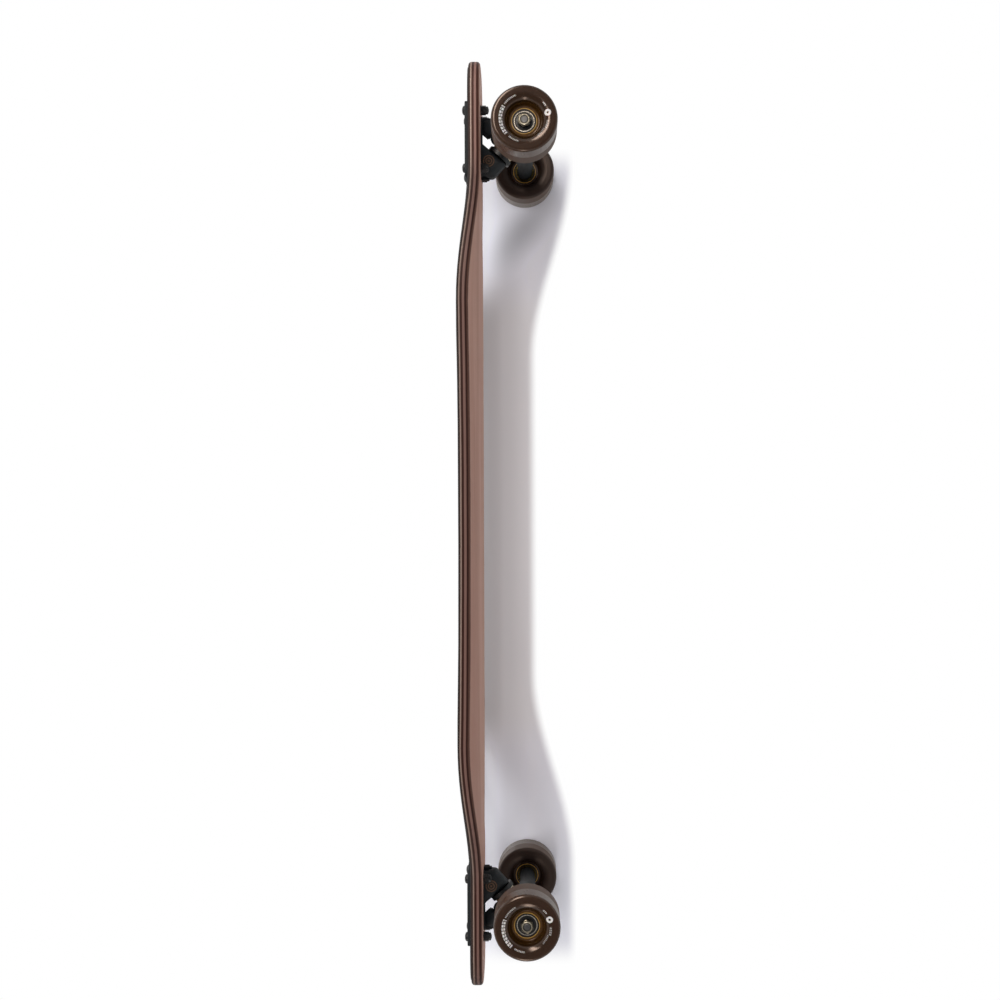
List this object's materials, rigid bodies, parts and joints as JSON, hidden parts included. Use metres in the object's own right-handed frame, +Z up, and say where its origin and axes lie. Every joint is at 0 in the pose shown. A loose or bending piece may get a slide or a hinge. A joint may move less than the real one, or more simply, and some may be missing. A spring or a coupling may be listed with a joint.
{
  "type": "drop-through longboard skateboard",
  "caption": "Drop-through longboard: symmetric concave maple deck with wheel cut-outs, reverse-kingpin trucks bolted through its necks, and wide urethane wheels.",
  "frame": {"origin": "on the ground under the middle of the board: the centre of the bounding box's bottom face", "axes": "+X along the board to the nose, +Y to the left, +Z up from the ground"},
  "size_m": [1.0186, 0.256, 0.1062],
  "materials": {
    "maple": "thin clear lacquer over walnut-stained maple ply",
    "grip": "coarse black grit",
    "truck_black": "matte black powder coat",
    "pivot_cup": "moulded black nylon",
    "black_bolts": "black oxide, satin",
    "black_nuts": "black oxide, satin",
    "steel": "zinc plated, satin",
    "nut_steel": "yellow zinc plated, satin",
    "washer_black": "black, satin",
    "bushing": "cream cast urethane, satin",
    "bearing_steel": "ground and polished",
    "shield": "black rubber seal, slightly glossy",
    "cage": "moulded nylon",
    "urethane": "dark brown cast urethane, glossy sides and a matte tread",
    "core": "amber moulded core"
  },
  "bodies": {
    "board": {"deck": "maple", "grip_tape": "grip", "front_baseplate": "truck_black", "front_pivot_cup": "pivot_cup", "front_mounting_bolts": "black_bolts", "front_mounting_washers": "black_bolts", "front_mounting_nuts": "black_nuts", "front_kingpin": "steel", "front_kingpin_nut": "steel", "front_kingpin_washers": "washer_black", "front_boardside_bushing": "bushing", "front_roadside_bushing": "bushing", "rear_baseplate": "truck_black", "rear_pivot_cup": "pivot_cup", "rear_mounting_bolts": "black_bolts", "rear_mounting_washers": "black_bolts", "rear_mounting_nuts": "black_nuts", "rear_kingpin": "steel", "rear_kingpin_nut": "steel", "rear_kingpin_washers": "washer_black", "rear_boardside_bushing": "bushing", "rear_roadside_bushing": "bushing"},
    "front_truck": {"front_hanger": "truck_black", "front_axle": "steel", "front_axle_nuts": "nut_steel", "front_speed_washers": "steel", "front_bearing_spacers": "steel", "front_bearing_inner_races": "bearing_steel"},
    "rear_truck": {"rear_hanger": "truck_black", "rear_axle": "steel", "rear_axle_nuts": "nut_steel", "rear_speed_washers": "steel", "rear_bearing_spacers": "steel", "rear_bearing_inner_races": "bearing_steel"},
    "front_left_wheel": {"front_left_wheel": "urethane", "front_left_wheel_core": "core", "front_left_bearing_outer_races": "bearing_steel", "front_left_bearing_shields": "shield"},
    "front_left_balls": {"front_left_bearing_balls": "bearing_steel", "front_left_bearing_cages": "cage"},
    "front_right_wheel": {"front_right_wheel": "urethane", "front_right_wheel_core": "core", "front_right_bearing_outer_races": "bearing_steel", "front_right_bearing_shields": "shield"},
    "front_right_balls": {"front_right_bearing_balls": "bearing_steel", "front_right_bearing_cages": "cage"},
    "rear_left_wheel": {"rear_left_wheel": "urethane", "rear_left_wheel_core": "core", "rear_left_bearing_outer_races": "bearing_steel", "rear_left_bearing_shields": "shield"},
    "rear_left_balls": {"rear_left_bearing_balls": "bearing_steel", "rear_left_bearing_cages": "cage"},
    "rear_right_wheel": {"rear_right_wheel": "urethane", "rear_right_wheel_core": "core", "rear_right_bearing_outer_races": "bearing_steel", "rear_right_bearing_shields": "shield"},
    "rear_right_balls": {"rear_right_bearing_balls": "bearing_steel", "rear_right_bearing_cages": "cage"}
  },
  "joints": [
    {"name": "front_steer", "type": "hinge", "parent": "board", "child": "front_truck", "pos_m": [0.42102, 0, 0.05179], "axis": [0.6561, 0, 0.7547], "range_deg": [-20, 20], "stiffness_Nm_per_rad": 60, "deforming": ["front_boardside_bushing", "front_roadside_bushing"]},
    {"name": "rear_steer", "type": "hinge", "parent": "board", "child": "rear_truck", "pos_m": [-0.42102, 0, 0.05179], "axis": [0.6561, 0, -0.7547], "range_deg": [-20, 20], "stiffness_Nm_per_rad": 60, "deforming": ["rear_boardside_bushing", "rear_roadside_bushing"]},
    {"name": "front_left_wheel_spin", "type": "hinge", "parent": "front_truck", "child": "front_left_wheel", "pos_m": [0.415, 0.103, 0.0345], "axis": [0, 1, 0], "continuous": true},
    {"name": "front_left_balls_spin", "type": "hinge", "parent": "front_truck", "child": "front_left_balls", "pos_m": [0.415, 0.103, 0.0345], "axis": [0, 1, 0], "continuous": true},
    {"name": "front_right_wheel_spin", "type": "hinge", "parent": "front_truck", "child": "front_right_wheel", "pos_m": [0.415, -0.103, 0.0345], "axis": [0, 1, 0], "continuous": true},
    {"name": "front_right_balls_spin", "type": "hinge", "parent": "front_truck", "child": "front_right_balls", "pos_m": [0.415, -0.103, 0.0345], "axis": [0, 1, 0], "continuous": true},
    {"name": "rear_left_wheel_spin", "type": "hinge", "parent": "rear_truck", "child": "rear_left_wheel", "pos_m": [-0.415, 0.103, 0.0345], "axis": [0, 1, 0], "continuous": true},
    {"name": "rear_left_balls_spin", "type": "hinge", "parent": "rear_truck", "child": "rear_left_balls", "pos_m": [-0.415, 0.103, 0.0345], "axis": [0, 1, 0], "continuous": true},
    {"name": "rear_right_wheel_spin", "type": "hinge", "parent": "rear_truck", "child": "rear_right_wheel", "pos_m": [-0.415, -0.103, 0.0345], "axis": [0, 1, 0], "continuous": true},
    {"name": "rear_right_balls_spin", "type": "hinge", "parent": "rear_truck", "child": "rear_right_balls", "pos_m": [-0.415, -0.103, 0.0345], "axis": [0, 1, 0], "continuous": true}
  ],
  "couplings": [
    {"joint": "front_left_balls_spin", "follows": "front_left_wheel_spin", "ratio": 0.63233},
    {"joint": "front_right_balls_spin", "follows": "front_right_wheel_spin", "ratio": 0.63233},
    {"joint": "rear_left_balls_spin", "follows": "rear_left_wheel_spin", "ratio": 0.63233},
    {"joint": "rear_right_balls_spin", "follows": "rear_right_wheel_spin", "ratio": 0.63233}
  ]
}
